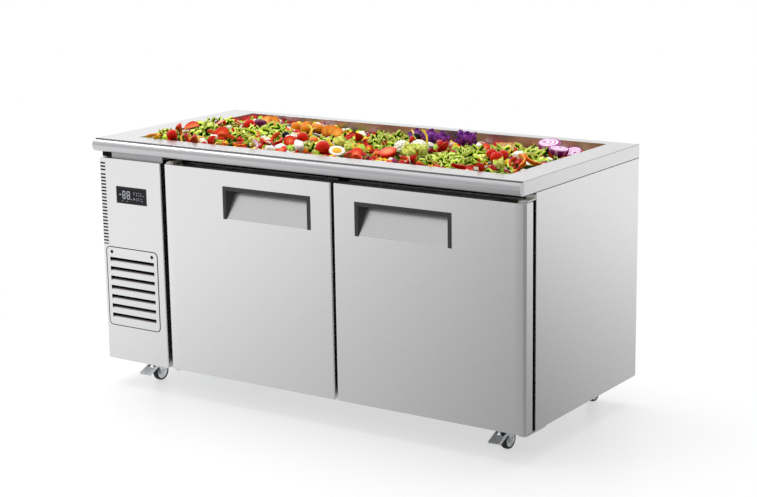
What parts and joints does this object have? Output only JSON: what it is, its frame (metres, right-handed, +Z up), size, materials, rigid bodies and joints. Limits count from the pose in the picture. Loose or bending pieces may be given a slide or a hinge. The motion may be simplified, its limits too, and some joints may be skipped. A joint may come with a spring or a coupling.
{
  "type": "refrigerated salad prep counter",
  "caption": "Low stainless refrigerated counter on castors: hinged doors with pocket handles, louvred machine panel with display, round-nosed top with a sunken well of lift-out food pans.",
  "frame": {"origin": "on the floor under the middle of the counter", "axes": "+X along the counter towards its plain end, -Y out of the doors, +Z up"},
  "size_m": [1.5, 0.6999, 0.785],
  "materials": {
    "stainless_outer": "fine brushed stainless sheet",
    "stainless_top": "brushed stainless worktop",
    "stainless_well": "satin stainless tub",
    "stainless_pan": "satin stainless pans and bars",
    "liner_sheet": "satin stainless liner",
    "galvanised": "galvanised sheet",
    "foam": "foam core",
    "door_core": "white moulded inner panel",
    "gasket_rubber": "soft black gasket",
    "handle_plastic": "fine-grained dark grey plastic",
    "display_plastic": "glossy dark window",
    "controller_plastic": "black housing",
    "screw_steel": "blackened screws",
    "hinge_steel": "plated steel",
    "bush_nylon": "nylon",
    "zinc": "zinc-plated pressed steel",
    "castor_rubber": "dark rubber tread",
    "fins": "fine aluminium fins",
    "copper": "copper tube",
    "black_paint": "black enamel",
    "fan_plastic": "black moulded fan",
    "cover_plastic": "white moulded cover",
    "gland_plastic": "black nylon",
    "shelf_wire": "plated wire"
  },
  "bodies": {
    "cabinet": {"base_pan": "galvanised", "right_side_panel": "stainless_outer", "left_side_panel": "stainless_outer", "back_panel": "galvanised", "insulation": "foam", "inner_liner": "liner_sheet", "machine_bulkhead": "galvanised", "front_frame": "stainless_outer", "service_panel": "stainless_outer", "louvre_grille": "stainless_outer", "grille_screws": "screw_steel", "display_window": "display_plastic", "controller_housing": "controller_plastic", "fascia_strip": "stainless_outer", "worktop": "stainless_top", "front_nosing": "stainless_top", "well_liner": "stainless_well", "divider_bars": "stainless_pan", "hinge_brackets": "hinge_steel", "hinge_pins": "hinge_steel", "unit_tray": "galvanised", "compressor": "black_paint", "condenser_coil": "fins", "fan_shroud": "galvanised", "condenser_fan_motor": "black_paint", "refrigerant_pipes": "copper", "evaporator_housing": "cover_plastic", "evaporator_coil": "fins", "evaporator_fan_motor": "black_paint", "shelf_rails": "liner_sheet", "wire_shelves": "shelf_wire", "cable_gland": "gland_plastic", "castor_plates": "zinc"},
    "left_door": {"left_door_skin": "stainless_outer", "left_door_inner": "door_core", "left_door_gasket": "gasket_rubber", "left_handle_trim": "handle_plastic", "left_door_bushes": "bush_nylon"},
    "right_door": {"right_door_skin": "stainless_outer", "right_door_inner": "door_core", "right_door_gasket": "gasket_rubber", "right_handle_trim": "handle_plastic", "right_door_bushes": "bush_nylon"},
    "pan_1": {"food_pan_1": "stainless_pan"},
    "pan_2": {"food_pan_2": "stainless_pan"},
    "pan_3": {"food_pan_3": "stainless_pan"},
    "pan_4": {"food_pan_4": "stainless_pan"},
    "front_left_swivel": {"front_left_castor_fork": "zinc"},
    "front_left_wheel": {"front_left_castor_wheel": "castor_rubber"},
    "front_left_pedal": {"front_left_brake_pedal": "zinc"},
    "front_right_swivel": {"front_right_castor_fork": "zinc"},
    "front_right_wheel": {"front_right_castor_wheel": "castor_rubber"},
    "front_right_pedal": {"front_right_brake_pedal": "zinc"},
    "rear_left_swivel": {"rear_left_castor_fork": "zinc"},
    "rear_left_wheel": {"rear_left_castor_wheel": "castor_rubber"},
    "rear_right_swivel": {"rear_right_castor_fork": "zinc"},
    "rear_right_wheel": {"rear_right_castor_wheel": "castor_rubber"},
    "condenser_fan": {"condenser_fan_blade": "fan_plastic"},
    "evaporator_fan": {"evaporator_fan_blade": "fan_plastic"}
  },
  "joints": [
    {"name": "left_door_hinge", "type": "hinge", "parent": "cabinet", "child": "left_door", "pos_m": [-0.478, -0.301, 0.405], "axis": [0, 0, -1], "range_deg": [0, 100], "stiffness_Nm_per_rad": 1.2, "springref_deg": -5.73},
    {"name": "right_door_hinge", "type": "hinge", "parent": "cabinet", "child": "right_door", "pos_m": [0.735, -0.301, 0.405], "axis": [0, 0, 1], "range_deg": [0, 100], "stiffness_Nm_per_rad": 1.2, "springref_deg": -5.73},
    {"name": "pan_1_lift", "type": "slide", "parent": "cabinet", "child": "pan_1", "axis": [0, 0, 1], "range_m": [0, 0.2]},
    {"name": "pan_2_lift", "type": "slide", "parent": "cabinet", "child": "pan_2", "axis": [0, 0, 1], "range_m": [0, 0.2]},
    {"name": "pan_3_lift", "type": "slide", "parent": "cabinet", "child": "pan_3", "axis": [0, 0, 1], "range_m": [0, 0.2]},
    {"name": "pan_4_lift", "type": "slide", "parent": "cabinet", "child": "pan_4", "axis": [0, 0, 1], "range_m": [0, 0.2]},
    {"name": "front_left_castor_swivel", "type": "hinge", "parent": "cabinet", "child": "front_left_swivel", "pos_m": [-0.635, -0.234, 0.0757], "axis": [0, 0, 1], "continuous": true},
    {"name": "front_left_wheel_roll", "type": "hinge", "parent": "front_left_swivel", "child": "front_left_wheel", "pos_m": [-0.635, -0.212, 0.029], "axis": [1, 0, 0], "continuous": true},
    {"name": "front_left_brake_release", "type": "hinge", "parent": "front_left_swivel", "child": "front_left_pedal", "pos_m": [-0.635, -0.232, 0.06], "axis": [-1, 0, 0], "range_deg": [0, 12]},
    {"name": "front_right_castor_swivel", "type": "hinge", "parent": "cabinet", "child": "front_right_swivel", "pos_m": [0.635, -0.234, 0.0757], "axis": [0, 0, 1], "continuous": true},
    {"name": "front_right_wheel_roll", "type": "hinge", "parent": "front_right_swivel", "child": "front_right_wheel", "pos_m": [0.635, -0.212, 0.029], "axis": [1, 0, 0], "continuous": true},
    {"name": "front_right_brake_release", "type": "hinge", "parent": "front_right_swivel", "child": "front_right_pedal", "pos_m": [0.635, -0.232, 0.06], "axis": [-1, 0, 0], "range_deg": [0, 12]},
    {"name": "rear_left_castor_swivel", "type": "hinge", "parent": "cabinet", "child": "rear_left_swivel", "pos_m": [-0.635, 0.275, 0.0757], "axis": [0, 0, 1], "continuous": true},
    {"name": "rear_left_wheel_roll", "type": "hinge", "parent": "rear_left_swivel", "child": "rear_left_wheel", "pos_m": [-0.635, 0.297, 0.029], "axis": [1, 0, 0], "continuous": true},
    {"name": "rear_right_castor_swivel", "type": "hinge", "parent": "cabinet", "child": "rear_right_swivel", "pos_m": [0.635, 0.275, 0.0757], "axis": [0, 0, 1], "continuous": true},
    {"name": "rear_right_wheel_roll", "type": "hinge", "parent": "rear_right_swivel", "child": "rear_right_wheel", "pos_m": [0.635, 0.297, 0.029], "axis": [1, 0, 0], "continuous": true},
    {"name": "condenser_fan_spin", "type": "hinge", "parent": "cabinet", "child": "condenser_fan", "pos_m": [-0.62675, -0.1925, 0.248], "axis": [0, 1, 0], "continuous": true},
    {"name": "evaporator_fan_spin", "type": "hinge", "parent": "cabinet", "child": "evaporator_fan", "pos_m": [-0.386, 0.07, 0.495], "axis": [1, 0, 0], "continuous": true}
  ]
}
